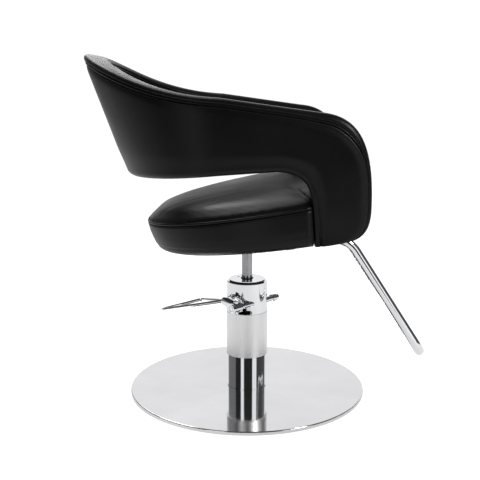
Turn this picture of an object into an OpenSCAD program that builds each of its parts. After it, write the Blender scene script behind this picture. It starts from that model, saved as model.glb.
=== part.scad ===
// Hydraulic salon styling chair: round floor plate, pump column, foot pedal, crowned seat,
// one-piece wrap-around back and arms, and a tubular footrest.
// Millimetres, +Z up, origin at the centre of the floor plate's underside, front along -Y.
// Helper functions use u for the distance forward (-Y) and s for the distance sideways (X).

/* [Base] */
// Diameter of the round floor plate
base_d = 600; // [560:5:640]
// Total thickness of the floor plate with its rubber pad
base_t = 10; // [9:1:12]
// Diameter of the lower chromed column
column_d = 97.5; // [96:0.5:98]
// Height of the sleeve's lower edge above the floor
sleeve_z = 96; // [80:1:110]
// Height of the joint between the sleeve and the pump head
head_z = 209; // [205:1:213]
// Height of the top of the pump head
head_top_z = 293; // [290:1:296]

/* [Lift] */
// Diameter of the lifting ram
ram_d = 27; // [25:0.5:28]
// Height of the ram's top in its drawn position
ram_top_z = 392; // [386:1:394]

/* [Pedal] */
// Distance from the column axis to the cross shaft
shaft_offset = 40; // [39:0.5:41]
// Height of the cross shaft
shaft_z = 238; // [236:1:240]
// Diameter of the pedal rod
pedal_rod_d = 8.5; // [7:0.5:10]
// Width of the pedal loop at its outer bar
pedal_w = 152; // [130:2:156]
// Distance from the cross shaft to the outer bar
pedal_reach = 205; // [175:5:205]

/* [Seat] */
// Half the width of the seat beside the arms
seat_half_w = 287; // [285:1:288]
// Distance from the widest line of the seat back to its rear tip
seat_back_len = 382; // [370:2:390]
// Height of the crown above the seat seam
seat_crown = 33; // [30:1:42]
// Rise of the seat seam for each millimetre forward
seat_slope = 0.182; // [0.175:0.001:0.19]

/* [Shell] */
// Half the outer width of the shell at the bottom of the arms
shell_half_w = 286; // [284:1:288]
// Thickness of the padded shell
shell_t = 57; // [55:1:60]
// Height of the back's crest at its centre
back_top_z = 850; // [840:1:860]
// Height of the arms' crest where the back begins
arm_top_z = 749; // [744:1:752]
// Backward lean of the back for each millimetre of height
recline = 0.3716; // [0.36:0.001:0.38]

/* [Footrest] */
// Diameter of the footrest tube
foot_tube_d = 23.5; // [22:0.5:24]
// Half the distance between the centres of the footrest's legs
foot_half_w = 160; // [150:2:164]
// Height of the footrest's crossbar
foot_bar_z = 142; // [136:2:160]

/* [Hidden] */

fine = 96;
gap = 0.3;
fit_gap = 0.05;

// Base and column
pad_t = 2;
cover_t = 1.5;
cover_lip = 9;
base_r = base_d / 2;
disc_r = base_r - cover_lip - gap;
disc_top = base_t - cover_t - gap;
bolt_circle_r = 32;
bolt_turn = 45;
bolt_r = 5;
bolt_head_r = 9;
bolt_head_h = 3.8;
bolt_len = 24;
cover_edge = 2.5;
collar_t = 2;
collar_h = 2.5;
column_r = column_d / 2;
column_wall = 4;
sleeve_r = 52.5;
head_r = 51.5;
head_chamfer = 2;
cap_t = 1.5;
cap_r = 45;
gasket_t = 3.2;
gasket_r = cap_r - 0.7;
gasket_z = head_top_z - cap_t - gasket_t;
ram_r = ram_d / 2;
ram_bottom_z = 182;
bore_r = 17;
liner_r = 20.5;
liner_bottom_z = 30;
liner_top_z = 262;
cavity_r = 35.5;
cavity_top_z = 262;
piston_t = 26;
groove_depth = 3;
seal_h = 5.6;
taper_len = 30;
taper_in = 1.5;
socket_r = 24;
socket_z = 362;
wiper_wall = 2.2;
wiper_rise = 1;
filler_turn = 60;
filler_out = 25;
filler_r = 3;
filler_depth = 14;
valve_z = 150;
valve_h = 42;

// Cross shaft frame: p runs along the shaft, q runs from the shaft across the column axis
shaft_turn = 45;
shaft_r = 7;
shaft_near = -96;
shaft_far = 72;
hub_p = -80;
hub_r = 13;
hub_len = 26;
crank_reach = 12;
crank_half_w = 5;
crank_r = 8.4;
bushing_r = 8.5;
bushing_p = 8;
bushing_len = 8;
pocket_r = 7;
plunger_r = 4.5;
plunger_top_z = shaft_z - 6;
plunger_bottom_z = 196;
spring_wire_r = 0.9;
spring_turns = 6;
spring_bottom_z = 188.5;
spring_top_z = 212;

// Seat planes, given as height at the column axis and rise per millimetre forward
seam_z0 = 495;
under_z0 = 408.5;
board_lift = 8;
under_slope = 0.147;
under_tilt = atan(under_slope);
seat_side_u = 136;
seat_front_u = 232;
seat_front_r = 45;
seat_front_half = shell_half_w - shell_t - 2;
seat_power = 2.1;
front_tuck = 0.45;
crown_u = 0;
boxing_draft = 22;
boxing_round = 24;
boxing_t = 4;
boxing_top = 0.9;
welt_low = 0.91;
welt_top = 0.985;
welt_t = 3.6;
board_t = 15;
board_inset = 34;
mount_half = 90;
mount_t = 6;
mount_hole = 76;

// Shell
shell_u = -65;
low_z0 = 586;
low_slope = 0.089;
side_low_slope = 0.068;
rear_a0 = 232;
side_flare = 0.05;
side_z0 = 430;
crest_power = 2.2;
crest_mix = 0.15;
arm_slope = 0.14;
arm_start_u = 60;
rim_depth = 18;
rim_round = 14;
rim_fall = 12;
fall_reach = 80;
fall_share = 0.6;
welt_w = 7;
welt_deep = 6;
seam_gap = 0.8;
edge_round = 12;
skin_out = 20;
frame_t = 12;
frame_gap = 0.7;
frame_in = skin_out + frame_t;
frame_low = edge_round + 6;
lip = edge_round + 4;
cover_d = rim_depth + welt_w + 2 * seam_gap;
rear_steps = 16;
side_steps = 4;
front_steps = 22;

// Footrest
foot_r = foot_tube_d / 2;
foot_bore_r = foot_r - 2;
foot_line_u = 241;
foot_line_z = 413;
foot_run = 0.652;
foot_tail_u = 70;
foot_knee_r = 75;
foot_bend_r = 45;
foot_drop = 2.5;

// ---------- helpers ----------

function lerp(a, b, t) = a + (b - a) * t;
function bezier(p, t) =
    p[0] * pow(1 - t, 3) + p[1] * 3 * t * pow(1 - t, 2) + p[2] * 3 * t * t * (1 - t) + p[3] * pow(t, 3);
function ease(x) = let (t = min(1, max(0, x))) t * t * (3 - 2 * t);
function ring_faces(rings, count) = [
    for (i = [0:rings - 2]) for (j = [0:count - 1])
        let (a = i * count + j, b = i * count + (j + 1) % count)
        each [[a, b, b + count], [a, b + count, a + count]]
];

// Closed solid through rings of equal size, with flat ends
module loft(rings) {
    count = len(rings[0]);
    last = (len(rings) - 1) * count;
    polyhedron(
        points = [for (r = rings) each r],
        faces = concat(
            ring_faces(len(rings), count),
            [[for (j = [count - 1:-1:0]) j]],
            [[for (j = [0:count - 1]) last + j]]
        )
    );
}

// Closed tube through rings that join end to end
module loft_loop(rings) {
    count = len(rings[0]);
    total = len(rings) * count;
    polyhedron(
        points = [for (r = rings) each r],
        faces = [
            for (i = [0:len(rings) - 1]) for (j = [0:count - 1])
                let (
                    a = i * count + j,
                    b = i * count + (j + 1) % count,
                    c = (a + count) % total,
                    d = (b + count) % total
                )
                each [[a, b, d], [a, d, c]]
        ]
    );
}

// Route through points with each inner corner rounded to its own radius in n steps
function unit(v) = v / norm(v);
function corner(a, b, c, r, n) =
    let (
        d1 = unit(b - a),
        d2 = unit(c - b),
        turn = acos(d1 * d2),
        start = b - d1 * r * tan(turn / 2),
        inward = unit(d2 - d1 * (d1 * d2)),
        centre = start + inward * r
    )
    [for (k = [0:n]) centre - inward * r * cos(turn * k / n) + d1 * r * sin(turn * k / n)];
function rounded_route(pts, radii, n) = concat(
    [pts[0]],
    [for (i = [1:len(pts) - 2]) each corner(pts[i - 1], pts[i], pts[i + 1], radii[i - 1], n)],
    [pts[len(pts) - 1]]
);
function tangent_at(pts, i) = unit(pts[min(i + 1, len(pts) - 1)] - pts[max(i - 1, 0)]);
function normals(pts, first, i = 0) =
    i == len(pts) ? []
    : let (t = tangent_at(pts, i), n = unit(first - t * (first * t)))
      concat([n], normals(pts, n, i + 1));
// Rings of radius r square to a route; first is any direction across its start
function tube_rings(pts, r, first, sides) =
    let (ns = normals(pts, first))
    [for (i = [0:len(pts) - 1])
        let (n = ns[i], m = cross(tangent_at(pts, i), n))
        [for (j = [0:sides - 1]) pts[i] + n * r * cos(360 * j / sides) + m * r * sin(360 * j / sides)]];

// Open-ended pipe along a route
module pipe(pts, r, bore, first, sides) {
    outer = tube_rings(pts, r, first, sides);
    inner = tube_rings(pts, bore, first, sides);
    loft_loop([for (j = [0:sides - 1]) concat(
        [for (ring = outer) ring[j]],
        [for (i = [len(pts) - 1:-1:0]) inner[i][j]]
    )]);
}

// Puts children in the cross shaft's frame: +X along the shaft, +Y across the column axis
module at_shaft() {
    rotate([0, 0, -shaft_turn])
        translate([0, -shaft_offset, shaft_z])
            children();
}

// Cylinder along the shaft from p0 to p1, in the shaft's frame
module along(p0, p1, r, sides = fine) {
    translate([p0, 0, 0])
        rotate([0, 90, 0])
            cylinder(r = r, h = p1 - p0, $fn = sides);
}

// Puts children on the seat board's underside: +Z square to it, origin on the column axis
module at_underside() {
    translate([0, 0, under_z0 + board_lift])
        rotate([-under_tilt, 0, 0])
            children();
}

// ---------- base and column ----------

// Puts children at the four bolts under the column
module at_base_bolts() {
    for (k = [0:3]) rotate([0, 0, bolt_turn + 90 * k]) translate([bolt_circle_r, 0, 0])
        children();
}

// Puts children at the oil filler beside the ram
module at_filler(z) {
    rotate([0, 0, filler_turn])
        translate([filler_out, 0, z])
            children();
}

// Puts children on the pump plunger's axis
module at_plunger() {
    rotate([0, 0, -shaft_turn])
        translate([0, -shaft_offset + crank_reach, 0])
            children();
}

module floor_pad() {
    color([0.06, 0.06, 0.06])
        cylinder(r = disc_r - 4, h = pad_t, $fn = fine);
}

module base_disc() {
    color([0.35, 0.36, 0.38])
        difference() {
            translate([0, 0, pad_t])
                cylinder(r = disc_r, h = disc_top - pad_t, $fn = fine);
            at_base_bolts() {
                cylinder(r = bolt_r + gap, h = base_t, $fn = fine);
                cylinder(r = bolt_head_r + gap, h = pad_t + bolt_head_h + 2 * gap, $fn = fine);
            }
        }
}

module base_cover() {
    color([0.82, 0.82, 0.84])
        rotate_extrude($fn = 180) {
            translate([column_r + fit_gap, base_t - cover_t])
                square([base_r - cover_edge - column_r - fit_gap, cover_t]);
            // upturned collar around the column
            translate([column_r + fit_gap, base_t - cover_t])
                square([collar_t, cover_t + collar_h]);
            translate([base_r - cover_lip, 1])
                square([cover_lip - cover_edge, base_t - 1]);
            translate([base_r - cover_edge, 1])
                square([cover_edge, base_t - cover_edge - 1]);
            translate([base_r - cover_edge, base_t - cover_edge])
                circle(r = cover_edge, $fn = 48);
        }
}

module base_bolts() {
    color([0.4, 0.4, 0.42])
        at_base_bolts() {
            translate([0, 0, pad_t + gap])
                difference() {
                    cylinder(r = bolt_head_r, h = bolt_head_h, $fn = fine);
                    translate([0, 0, -1])
                        cylinder(r = 3.2, h = 3, $fn = 6);
                }
            translate([0, 0, pad_t + bolt_head_h])
                cylinder(r = bolt_r, h = bolt_len - bolt_head_h, $fn = fine);
        }
}

module tube_foot() {
    color([0.45, 0.45, 0.47])
        difference() {
            translate([0, 0, disc_top])
                cylinder(
                    r = column_r - column_wall - fit_gap,
                    h = liner_bottom_z - gap - disc_top,
                    $fn = fine
                );
            at_base_bolts()
                cylinder(r = bolt_r + 0.1, h = pad_t + bolt_len + gap, $fn = fine);
        }
}

module lower_cylinder() {
    color([0.75, 0.77, 0.8])
        difference() {
            translate([0, 0, disc_top + gap])
                cylinder(r = column_r, h = head_z - disc_top - 2 * gap, $fn = 180);
            cylinder(r = column_r - column_wall, h = head_z + 1, $fn = 180);
        }
}

module column_sleeve() {
    color([0.86, 0.86, 0.86])
        difference() {
            translate([0, 0, sleeve_z])
                cylinder(r = sleeve_r, h = head_z - sleeve_z, $fn = 180);
            translate([0, 0, sleeve_z - 1])
                cylinder(r = column_r + fit_gap, h = head_z - sleeve_z + 2, $fn = 180);
        }
}

module pump_head() {
    color([0.8, 0.8, 0.82])
        difference() {
            union() {
                translate([0, 0, head_z + gap])
                    cylinder(r = head_r, h = gasket_z - head_z - gap - head_chamfer, $fn = 180);
                translate([0, 0, gasket_z - head_chamfer])
                    cylinder(r1 = head_r, r2 = head_r - head_chamfer, h = head_chamfer, $fn = 180);
            }
            // inner cavity around the cylinder liner and the crank
            translate([0, 0, head_z - 1])
                cylinder(r = cavity_r, h = cavity_top_z - head_z + 1, $fn = fine);
            // seat of the guide bush and the ram's way out
            cylinder(r = liner_r + fit_gap, h = head_top_z, $fn = fine);
            at_shaft() {
                along(-60, 60, shaft_r + fit_gap);
                for (p = [-bushing_p - bushing_len, bushing_p])
                    along(p, p + bushing_len, bushing_r + fit_gap);
                // slot for the crank
                translate([-7.5, -8.5, -18])
                    cube([15, 30, 32]);
                // window below the near end of the shaft
                translate([-60, -4, head_z - shaft_z - 1])
                    cube([34, 27, shaft_z - head_z - 3]);
            }
            // filler hole
            at_filler(head_top_z - filler_depth)
                cylinder(r = filler_r, h = filler_depth + 1, $fn = fine);
        }
}

module cap_gasket() {
    color([0.04, 0.04, 0.04])
        difference() {
            translate([0, 0, gasket_z + gap])
                cylinder(r = gasket_r, h = gasket_t - 2 * gap, $fn = 180);
            cylinder(r = ram_r + wiper_wall + gap, h = head_top_z, $fn = fine);
            at_filler(head_top_z - filler_depth)
                cylinder(r = filler_r, h = filler_depth, $fn = fine);
        }
}

module head_cap() {
    color([0.9, 0.9, 0.9])
        difference() {
            translate([0, 0, head_top_z - cap_t])
                cylinder(r = cap_r, h = cap_t, $fn = 180);
            translate([0, 0, head_top_z - 5])
                cylinder(r = ram_r + wiper_wall + gap, h = 10, $fn = fine);
            at_filler(head_top_z - filler_depth)
                cylinder(r = filler_r, h = filler_depth + 1, $fn = fine);
        }
}

module filler_plug() {
    color([0.05, 0.05, 0.05])
        at_filler(head_top_z - filler_depth + fit_gap)
            difference() {
                cylinder(r = filler_r - fit_gap, h = filler_depth - cap_t, $fn = fine);
                translate([0, 0, filler_depth - cap_t - 3])
                    cylinder(r = 1.5, h = 4, $fn = 6);
            }
}

module ram_wiper_seal() {
    color([0.08, 0.08, 0.08])
        difference() {
            union() {
                translate([0, 0, gasket_z])
                    cylinder(r = ram_r + wiper_wall, h = cap_t + gasket_t + wiper_rise, $fn = fine);
                translate([0, 0, head_top_z + wiper_rise])
                    cylinder(r1 = ram_r + wiper_wall, r2 = ram_r + 0.8, h = wiper_rise, $fn = fine);
            }
            cylinder(r = ram_r + fit_gap, h = head_top_z + 10, $fn = fine);
        }
}

module guide_bush() {
    color([0.72, 0.55, 0.3])
        difference() {
            translate([0, 0, liner_top_z + gap])
                cylinder(r = liner_r, h = gasket_z - liner_top_z - 2 * gap, $fn = fine);
            cylinder(r = ram_r + fit_gap, h = head_top_z, $fn = fine);
        }
}

module inner_cylinder() {
    color([0.55, 0.56, 0.58])
        difference() {
            translate([0, 0, liner_bottom_z])
                cylinder(r = liner_r, h = liner_top_z - liner_bottom_z, $fn = fine);
            translate([0, 0, liner_bottom_z + 6])
                cylinder(r = bore_r, h = liner_top_z, $fn = fine);
        }
}

module valve_block() {
    color([0.5, 0.5, 0.52])
        difference() {
            translate([0, 0, valve_z])
                cylinder(r = column_r - column_wall - fit_gap, h = valve_h, $fn = fine);
            translate([0, 0, valve_z - 1])
                cylinder(r = liner_r + fit_gap, h = valve_h + 2, $fn = fine);
            at_plunger()
                translate([0, 0, spring_bottom_z - gap])
                    cylinder(r = pocket_r, h = valve_h, $fn = fine);
        }
}

module shaft_bushings() {
    color([0.72, 0.55, 0.3])
        at_shaft()
            for (p = [-bushing_p - bushing_len, bushing_p]) difference() {
                along(p + gap, p + bushing_len - gap, bushing_r);
                along(-20, 20, shaft_r + fit_gap);
            }
}

module plunger_spring() {
    steps = 12;
    coil_r = 5.6;
    height = spring_top_z - spring_bottom_z - 2 * spring_wire_r;
    rings = [
        for (i = [0:spring_turns * steps])
            let (
                turn = i * 360 / steps,
                z = spring_bottom_z + spring_wire_r + height * i / (spring_turns * steps)
            )
            [for (j = [5:-1:0]) [
                (coil_r + spring_wire_r * cos(60 * j)) * cos(turn),
                (coil_r + spring_wire_r * cos(60 * j)) * sin(turn),
                z + spring_wire_r * sin(60 * j)
            ]]
    ];
    color([0.5, 0.5, 0.52])
        at_plunger()
            loft(rings);
}

module pump_plunger() {
    color([0.7, 0.7, 0.72])
        at_plunger() {
            translate([0, 0, plunger_bottom_z])
                cylinder(r = plunger_r, h = plunger_top_z - plunger_bottom_z, $fn = fine);
            translate([0, 0, spring_top_z + gap])
                cylinder(r = plunger_r + 1.2, h = 3, $fn = fine);
        }
}

// ---------- pedal ----------

module cross_shaft() {
    chamfer = 1.2;
    color([0.7, 0.72, 0.75])
        at_shaft() {
            along(shaft_near + chamfer, shaft_far - chamfer, shaft_r);
            translate([shaft_far - chamfer, 0, 0])
                rotate([0, 90, 0])
                    cylinder(r1 = shaft_r, r2 = shaft_r - chamfer, h = chamfer, $fn = fine);
            translate([shaft_near + chamfer, 0, 0])
                rotate([0, -90, 0])
                    cylinder(r1 = shaft_r, r2 = shaft_r - chamfer, h = chamfer, $fn = fine);
        }
}

module crank_arm() {
    color([0.4, 0.4, 0.42])
        at_shaft()
            difference() {
                union() {
                    along(-crank_half_w, crank_half_w, crank_r);
                    translate([-crank_half_w, 0, -crank_r / 2])
                        cube([2 * crank_half_w, crank_reach + 1.5, crank_r]);
                }
                along(-20, 20, shaft_r);
            }
}

// Foot pedal, in the shaft's frame: two rods run from the hub's boss to the outer bar
pedal_boss = [hub_p, 42, 10];
pedal_bar_z = -32;
pedal_corner_r = 14;
pedal_root = 4.6;
pedal_rod_r = pedal_rod_d / 2;
pedal_fall = atan2(pedal_boss.z - pedal_bar_z, pedal_reach - pedal_boss.y);
pedal_len = norm([pedal_boss.z - pedal_bar_z, pedal_reach - pedal_boss.y]);
pedal_half_bar = pedal_w / 2;
pedal_lean = atan2(pedal_half_bar - pedal_root, pedal_len);

// Puts children in the pedal loop's plane: +X along the outer bar, +Y away from the hub
module at_pedal() {
    at_shaft()
        translate(pedal_boss)
            rotate([-pedal_fall, 0, 0])
                children();
}

// Holes in the boss for the loop's two side rods
module pedal_rod_holes() {
    buried = 5;
    depth = 20;
    for (side = [0, 1])
        mirror([side, 0, 0])
            translate([pedal_root, 0, 0])
                rotate([0, 0, -pedal_lean])
                    rotate([-90, 0, 0])
                        translate([0, 0, -buried])
                            cylinder(r = pedal_rod_r + fit_gap / 2, h = depth, $fn = 48);
}

module pedal_hub() {
    color([0.68, 0.69, 0.72])
        difference() {
            at_shaft()
                difference() {
                    union() {
                        along(hub_p - hub_len / 2, hub_p + hub_len / 2, hub_r);
                        along(hub_p - hub_len / 2 - 3, hub_p - hub_len / 2 + 1, hub_r - 3);
                        hull() {
                            along(hub_p - 9, hub_p + 9, 9, 32);
                            translate(pedal_boss)
                                rotate([90, 0, 0])
                                    cylinder(r = 10, h = 9, $fn = 32);
                        }
                        translate([hub_p, 0, 4])
                            cylinder(r = 6, h = 12, $fn = fine);
                    }
                    along(shaft_near - 10, shaft_far, shaft_r);
                    translate([hub_p, 0, 0])
                        cylinder(r = 3.1, h = 20, $fn = fine);
                }
            at_pedal()
                pedal_rod_holes();
        }
}

module hub_set_screw() {
    color([0.3, 0.3, 0.32])
        at_shaft()
            translate([hub_p, 0, shaft_r + gap])
                difference() {
                    cylinder(r = 3, h = 11, $fn = fine);
                    translate([0, 0, 8])
                        cylinder(r = 1.5, h = 5, $fn = 6);
                }
}

module pedal_loop() {
    root = [pedal_root - 5 * sin(pedal_lean), -5 * cos(pedal_lean), 0];
    route = [
        [-root.x, root.y, 0],
        [-pedal_half_bar, pedal_len, 0],
        [pedal_half_bar, pedal_len, 0],
        root
    ];
    color([0.78, 0.79, 0.82])
        at_pedal()
            loft(tube_rings(
                rounded_route(route, [pedal_corner_r, pedal_corner_r], 10),
                pedal_rod_r, [0, 0, 1], 20
            ));
}

module shaft_collar() {
    color([0.65, 0.66, 0.7])
        at_shaft()
            difference() {
                union() {
                    along(48, 58, 9.5);
                    along(60, 64, 8.5);
                    along(57, 61, 7.8);
                }
                along(30, 80, shaft_r);
            }
}

// ---------- lift ----------

module piston() {
    color([0.6, 0.6, 0.62])
        difference() {
            translate([0, 0, ram_bottom_z - piston_t])
                cylinder(r = bore_r - fit_gap, h = piston_t - gap, $fn = fine);
            translate([0, 0, ram_bottom_z - piston_t / 2 - 3])
                difference() {
                    cylinder(r = bore_r + 1, h = 6, $fn = fine);
                    translate([0, 0, -1])
                        cylinder(r = bore_r - groove_depth, h = 8, $fn = fine);
                }
        }
}

module piston_seal() {
    color([0.08, 0.08, 0.08])
        translate([0, 0, ram_bottom_z - piston_t / 2 - seal_h / 2])
            difference() {
                cylinder(r = bore_r - fit_gap, h = seal_h, $fn = fine);
                translate([0, 0, -1])
                    cylinder(r = bore_r - groove_depth + gap / 2, h = 8, $fn = fine);
            }
}

module ram() {
    color([0.62, 0.63, 0.65]) {
        translate([0, 0, ram_bottom_z])
            cylinder(r = ram_r, h = ram_top_z - taper_len - ram_bottom_z, $fn = fine);
        translate([0, 0, ram_top_z - taper_len])
            cylinder(r1 = ram_r, r2 = ram_r - taper_in, h = taper_len, $fn = fine);
    }
}

module spindle_socket() {
    color([0.12, 0.12, 0.13])
        difference() {
            translate([0, 0, socket_z])
                cylinder(r = socket_r, h = under_z0 + board_lift - socket_z, $fn = fine);
            translate([0, 0, ram_top_z - taper_len])
                cylinder(r1 = ram_r, r2 = ram_r - taper_in, h = taper_len, $fn = fine);
            translate([0, 0, socket_z - 10])
                cylinder(r = ram_r, h = ram_top_z - taper_len - socket_z + 10.01, $fn = fine);
            translate([0, 0, ram_top_z - 0.01])
                cylinder(r = ram_r - taper_in, h = 2, $fn = fine);
            at_underside()
                translate([-60, -60, -mount_t - gap])
                    cube([120, 120, 60]);
        }
}

module seat_mount_plate() {
    r = 12;
    color([0.1, 0.1, 0.11])
        at_underside()
            translate([0, 0, -mount_t])
                difference() {
                    union() {
                        translate([-mount_half + r, -mount_half, 0])
                            cube([2 * (mount_half - r), 2 * mount_half, mount_t - gap]);
                        translate([-mount_half, -mount_half + r, 0])
                            cube([2 * mount_half, 2 * (mount_half - r), mount_t - gap]);
                        for (x = [-1, 1]) for (y = [-1, 1])
                            translate([x * (mount_half - r), y * (mount_half - r), 0])
                                cylinder(r = r, h = mount_t - gap, $fn = fine);
                    }
                    for (x = [-1, 1]) for (y = [-1, 1])
                        translate([x * mount_hole, y * mount_hole, -1])
                            cylinder(r = 4.3, h = mount_t + 2, $fn = fine);
                }
}

module mount_bolts() {
    color([0.3, 0.3, 0.32])
        at_underside()
            for (x = [-1, 1]) for (y = [-1, 1])
                translate([x * mount_hole, y * mount_hole, -mount_t]) {
                    translate([0, 0, -5.3])
                        cylinder(r = 6.5, h = 5.2, $fn = 6);
                    translate([0, 0, -1.4])
                        cylinder(r = 9, h = 1.3, $fn = fine);
                    translate([0, 0, -1])
                        cylinder(r = 4, h = 22, $fn = fine);
                }
}

// ---------- seat ----------

function seam_z(u) = seam_z0 + seat_slope * u;
function under_z(u) = under_z0 + under_slope * u;

// Seat outline in plan as [u, s], pulled in by inset; rear half ellipse, then the narrower front
// between the arms, counter-clockwise seen from above
function seat_half(inset, back) = concat(
    [for (k = [0:20])
        let (t = 90 * (1 - k / 20))
        [
            seat_side_u - (seat_back_len - inset - back) * pow(sin(t), 2 / seat_power),
            (seat_half_w - inset) * pow(cos(t), 2 / seat_power)
        ]],
    [
        [seat_side_u + 1, seat_front_half - inset]
    ],
    [for (k = [0:8])
        let (t = 90 * k / 8)
        [
            seat_front_u - inset * front_tuck - seat_front_r + seat_front_r * sin(t),
            seat_front_half - inset - seat_front_r + seat_front_r * cos(t)
        ]]
);
function seat_outline(inset, back) =
    let (h = seat_half(inset, back), n = len(h))
    concat(h, [for (k = [n - 1:-1:1]) [h[k].x, -h[k].y]]);
// Seat section: height above the underside as a share of the boxing, with its inset
function seat_ring(share, inset, back, lift = 0) = [
    for (q = seat_outline(inset, back))
        let (z = lerp(under_z(q.x), seam_z(q.x), share) + lift)
        [q.y, -q.x, z]
];
function crown_ring(scale) = [
    for (q = seat_outline(boxing_t / 2, 0))
        let (
            u = lerp(crown_u, q.x, scale),
            s = q.y * scale,
            rise = seat_crown * pow(1 - pow(scale, 3.6), 0.5)
        )
        [s, -u, seam_z(u) + rise]
];
module seat_board() {
    pts = [for (q = seat_outline(board_inset, boxing_draft)) [q.y, -q.x / cos(under_tilt)]];
    color([0.72, 0.58, 0.4])
        at_underside()
            difference() {
                translate([0, 0, gap])
                    linear_extrude(height = board_t)
                        polygon(pts);
                for (x = [-1, 1]) for (y = [-1, 1])
                    translate([x * mount_hole, y * mount_hole, -1])
                        cylinder(r = 5.6, h = board_t + 3, $fn = fine);
            }
}

module board_nuts() {
    color([0.6, 0.6, 0.62])
        at_underside()
            for (x = [-1, 1]) for (y = [-1, 1])
                translate([x * mount_hole, y * mount_hole, 0])
                    difference() {
                        union() {
                            translate([0, 0, 3])
                                cylinder(r = 5.5, h = board_t - 3 + gap, $fn = fine);
                            translate([0, 0, board_t + gap])
                                cylinder(r = 9, h = 1.5, $fn = fine);
                        }
                        translate([0, 0, -2])
                            cylinder(r = 4.05, h = board_t + 10, $fn = fine);
                    }
}

module seat_cushion() {
    inner = boxing_t + gap;
    lift = board_lift + board_t + 2.4;
    color([0.09, 0.09, 0.1])
        loft(concat(
            [seat_ring(0, inner + boxing_round + 2, boxing_draft, lift)],
            [seat_ring(0.3, inner + 6, boxing_draft * 0.7, 0)],
            [seat_ring(0.97, inner, 0, 0)],
            [for (f = [0.985, 0.96, 0.9, 0.82, 0.7, 0.55, 0.35, 0.12]) crown_ring(f)]
        ));
}

// Closed band around the seat through section points of [share, inset, back]
module seat_band(section) {
    rings = [for (q = section) seat_ring(q[0], q[1], q[2])];
    loft_loop([for (i = [0:len(rings[0]) - 1]) [for (ring = rings) ring[i]]]);
}

module seat_boxing() {
    color([0.09, 0.09, 0.1])
        seat_band([
            [0, boxing_round, boxing_draft],
            [0.05, boxing_round * 0.5, boxing_draft],
            [0.14, boxing_round * 0.15, boxing_draft * 0.86],
            [0.3, 0, boxing_draft * 0.7],
            [boxing_top, 0, 0],
            [boxing_top, boxing_t, 0],
            [0.3, boxing_t + 4, boxing_draft * 0.7],
            [0.16, boxing_t + 9, boxing_draft * 0.86],
            [0.05, boxing_t + boxing_round, boxing_draft]
        ]);
}

module seat_welt() {
    color([0.09, 0.09, 0.1])
        seat_band([
            [welt_low, -0.5, 0],
            [welt_top, -0.5, 0],
            [welt_top, welt_t, 0],
            [welt_low, welt_t, 0]
        ]);
}

module underside_cover() {
    pts = [for (q = seat_outline(board_inset - 4, boxing_draft)) [q.y, -q.x / cos(under_tilt)]];
    color([0.05, 0.05, 0.05])
        at_underside()
            difference() {
                translate([0, 0, -1])
                    linear_extrude(height = 1)
                        polygon(pts);
                translate([-mount_half - 1, -mount_half - 1, -3])
                    cube([2 * mount_half + 2, 2 * mount_half + 2, 6]);
            }
}

// ---------- wrap-around shell ----------

function half_w(z) = shell_half_w + side_flare * (z - side_z0);
function rear_a(z) = rear_a0 + recline * (z - low_z0);
// Point on the shell at inward offset n; phi runs from 0 at the back's centre to 90 at the sides
function shell_pt(phi, u, z, n) =
    phi < 90
        ? [shell_u - (rear_a(z) - n) * cos(phi), (half_w(z) - n) * sin(phi), z]
        : [u, half_w(z) - n, z];

arm_front = [[150, 719], [236, 713], [264.5, 650], [264.5, 520]];
arm_toe = [[264.5, 520], [265, 472], [254, 443], [200, 439]];
gap_corner = [[60, 594.5], [110, 593.5], [136, 570], [138.5, 520]];
gap_drop = [[138.5, 520], [145.5, 431.5]];

function rim_at(t) =
    t < 0.2 ? lerp([arm_start_u, arm_top_z - arm_slope * (arm_start_u - shell_u)], arm_front[0], t / 0.2)
    : t < 0.65 ? bezier(arm_front, (t - 0.2) / 0.45)
    : bezier(arm_toe, (t - 0.65) / 0.35);
function low_at(t) =
    t < 0.55 ? bezier(gap_corner, t / 0.55)
    : lerp(gap_drop[0], gap_drop[1], (t - 0.55) / 0.45);

// One station of the half shell: [phi, rim u, rim z, lower edge u, lower edge z]
function station(i) =
    i < rear_steps
        ? let (phi = 90 * i / rear_steps)
          [
              phi, 0,
              arm_top_z + (back_top_z - arm_top_z) * lerp(pow(cos(phi), crest_power), cos(phi), crest_mix),
              0, low_z0 - low_slope * rear_a0 * cos(phi)
          ]
    : i < rear_steps + side_steps
        ? let (u = lerp(shell_u, arm_start_u, (i - rear_steps) / side_steps))
          [90, u, arm_top_z - arm_slope * (u - shell_u), u, low_z0 + side_low_slope * (u - shell_u)]
    : let (t = (i - rear_steps - side_steps) / front_steps, a = rim_at(t), b = low_at(t))
      [90, a.x, a.y, b.x, b.y];

function station_len(st) =
    let (a = shell_pt(st[0], st[1], st[2], 0), b = shell_pt(st[0], st[3], st[4], 0))
    norm(a - b);
// How far the inner edge of the rim lies below the outer one, most across the back
function rim_drop(st) = rim_fall * ease((1 - st[0] / 90) / fall_share);
// Section point: end 0 measures d from the rim and end 1 from the lower edge; between them
// it is a share of the way down the covers
function section_pt(st, end, d, n) =
    let (
        len = station_len(st),
        level = end > 0 && end < 1 ? lerp(cover_d / len, 1 - lip / len, end) : end + (1 - 2 * end) * d / len,
        f = level + rim_drop(st) * n / shell_t * max(0, 1 - level * len / fall_reach) / len
    )
    shell_pt(st[0], lerp(st[1], st[3], f), lerp(st[2], st[4], f), n);
function side_section(i, layout, side) =
    let (st = station(i))
    [for (q = layout) let (p = section_pt(st, q[0], q[1], q[2])) [side * p[1], -p[0], p[2]]];

// Sweeps a section layout of [end, distance, inward offset] around the whole shell
module shell_layer(layout) {
    last = rear_steps + side_steps + front_steps;
    loft(concat(
        [for (i = [last:-1:1]) side_section(i, layout, -1)],
        [for (i = [0:last]) side_section(i, layout, 1)]
    ));
}

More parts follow.
